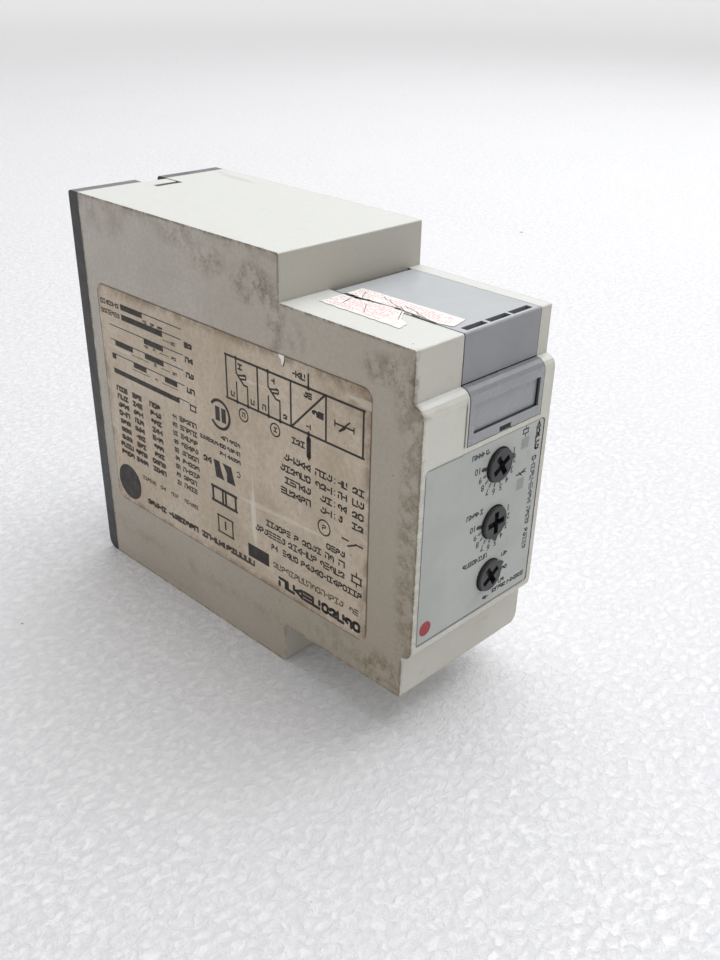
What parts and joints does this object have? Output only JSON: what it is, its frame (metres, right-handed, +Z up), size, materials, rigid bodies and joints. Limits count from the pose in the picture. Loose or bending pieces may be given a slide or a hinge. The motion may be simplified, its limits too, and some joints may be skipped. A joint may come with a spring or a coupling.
{
  "type": "din rail timer",
  "caption": "Plug-in timer module: tapered housing, stepped nose with turnable setting dials, hinged switch door, vent cover and a round pin plug on the base plate.",
  "frame": {"origin": "middle of the bounding box's footprint, on the surface that the module stands on", "axes": "+Y from the knobs towards the plug, +Z up as the module stands in the picture, +X to the right seen from the front"},
  "size_m": [0.036, 0.1086, 0.082],
  "materials": {
    "housing": "satin moulded plastic, light warm grey",
    "base": "moulded plastic, charcoal",
    "cover": "moulded plastic, mid grey",
    "panel": "printed grey panel",
    "knob": "moulded plastic, dark grey",
    "white": "moulded plastic, off-white",
    "blue": "moulded plastic, blue",
    "red": "moulded plastic, red",
    "black": "moulded plastic, black",
    "board": "green board laminate",
    "paper": "aged printed film",
    "clear": "clear moulded plastic",
    "green": "tinted lamp resin",
    "amber": "tinted resin",
    "copper": "enamelled winding wire",
    "steel": "bare stamped steel",
    "tin": "plated contact metal"
  },
  "bodies": {
    "module": {"housing": "housing", "base_plate": "base", "vent_cover": "cover", "front_panel": "panel", "range_switch_block": "red", "control_board": "board", "power_board": "board", "base_board": "board", "board_connector": "black", "supply_capacitor": "black", "film_capacitor": "amber", "varistor": "blue", "transformer": "steel", "microcontroller": "black", "rating_label": "paper", "seal_left": "paper", "seal_right": "paper", "supply_lamp": "green", "output_lamp": "amber", "supply_light_guide": "clear", "output_light_guide": "clear", "contact_pin_1": "tin", "contact_pin_2": "tin", "contact_pin_3": "tin", "contact_pin_4": "tin", "contact_pin_5": "tin", "contact_pin_6": "tin", "contact_pin_7": "tin", "contact_pin_8": "tin", "contact_pin_9": "tin", "contact_pin_10": "tin", "contact_pin_11": "tin", "time_2_dial_body": "blue", "time_1_dial_body": "blue", "function_dial_body": "blue", "relay_1_base": "black", "relay_1_cover": "blue", "relay_1_coil": "copper", "relay_1_yoke": "steel", "relay_1_contact": "tin", "relay_2_base": "black", "relay_2_cover": "blue", "relay_2_coil": "copper", "relay_2_yoke": "steel", "relay_2_contact": "tin"},
    "time_2_dial": {"time_2_knob": "knob", "time_2_rotor": "white"},
    "time_1_dial": {"time_1_knob": "knob", "time_1_rotor": "white"},
    "function_dial": {"function_knob": "knob", "function_rotor": "white"},
    "door": {"switch_door": "cover"},
    "range_slider_1_key": {"range_slider_1": "white"},
    "range_slider_2_key": {"range_slider_2": "white"},
    "range_slider_3_key": {"range_slider_3": "white"},
    "range_slider_4_key": {"range_slider_4": "white"},
    "range_slider_5_key": {"range_slider_5": "white"},
    "range_slider_6_key": {"range_slider_6": "white"},
    "relay_1_swing": {"relay_1_armature": "steel"},
    "relay_2_swing": {"relay_2_armature": "steel"}
  },
  "joints": [
    {"name": "time_2_turn", "type": "hinge", "parent": "module", "child": "time_2_dial", "pos_m": [0.00345, -0.0537, 0.04905], "axis": [0, 1, 0], "range_deg": [-6, 203]},
    {"name": "time_1_turn", "type": "hinge", "parent": "module", "child": "time_1_dial", "pos_m": [0.00345, -0.0537, 0.03785], "axis": [0, 1, 0], "range_deg": [-104, 105]},
    {"name": "function_turn", "type": "hinge", "parent": "module", "child": "function_dial", "pos_m": [0.00345, -0.0537, 0.0268], "axis": [0, 1, 0], "range_deg": [0, 114]},
    {"name": "door_swing", "type": "hinge", "parent": "module", "child": "door", "pos_m": [0.0041, -0.0518, 0.0633], "axis": [-1, 0, 0], "range_deg": [0, 95]},
    {"name": "range_slider_1_slide", "type": "slide", "parent": "module", "child": "range_slider_1_key", "axis": [0, 0, 1], "range_m": [0, 0.0016]},
    {"name": "range_slider_2_slide", "type": "slide", "parent": "module", "child": "range_slider_2_key", "axis": [0, 0, 1], "range_m": [0, 0.0016]},
    {"name": "range_slider_3_slide", "type": "slide", "parent": "module", "child": "range_slider_3_key", "axis": [0, 0, 1], "range_m": [0, 0.0016]},
    {"name": "range_slider_4_slide", "type": "slide", "parent": "module", "child": "range_slider_4_key", "axis": [0, 0, 1], "range_m": [0, 0.0016]},
    {"name": "range_slider_5_slide", "type": "slide", "parent": "module", "child": "range_slider_5_key", "axis": [0, 0, 1], "range_m": [0, 0.0016]},
    {"name": "range_slider_6_slide", "type": "slide", "parent": "module", "child": "range_slider_6_key", "axis": [0, 0, 1], "range_m": [0, 0.0016]},
    {"name": "relay_1_pull", "type": "hinge", "parent": "module", "child": "relay_1_swing", "pos_m": [-0.00333, 0.01495, 0.026], "axis": [0, 1, 0], "range_deg": [0, 2.7], "stiffness_Nm_per_rad": 0.0005, "springref_deg": -11.46},
    {"name": "relay_2_pull", "type": "hinge", "parent": "module", "child": "relay_2_swing", "pos_m": [-0.00333, 0.01495, 0.062], "axis": [0, 1, 0], "range_deg": [0, 2.7], "stiffness_Nm_per_rad": 0.0005, "springref_deg": -11.46}
  ]
}
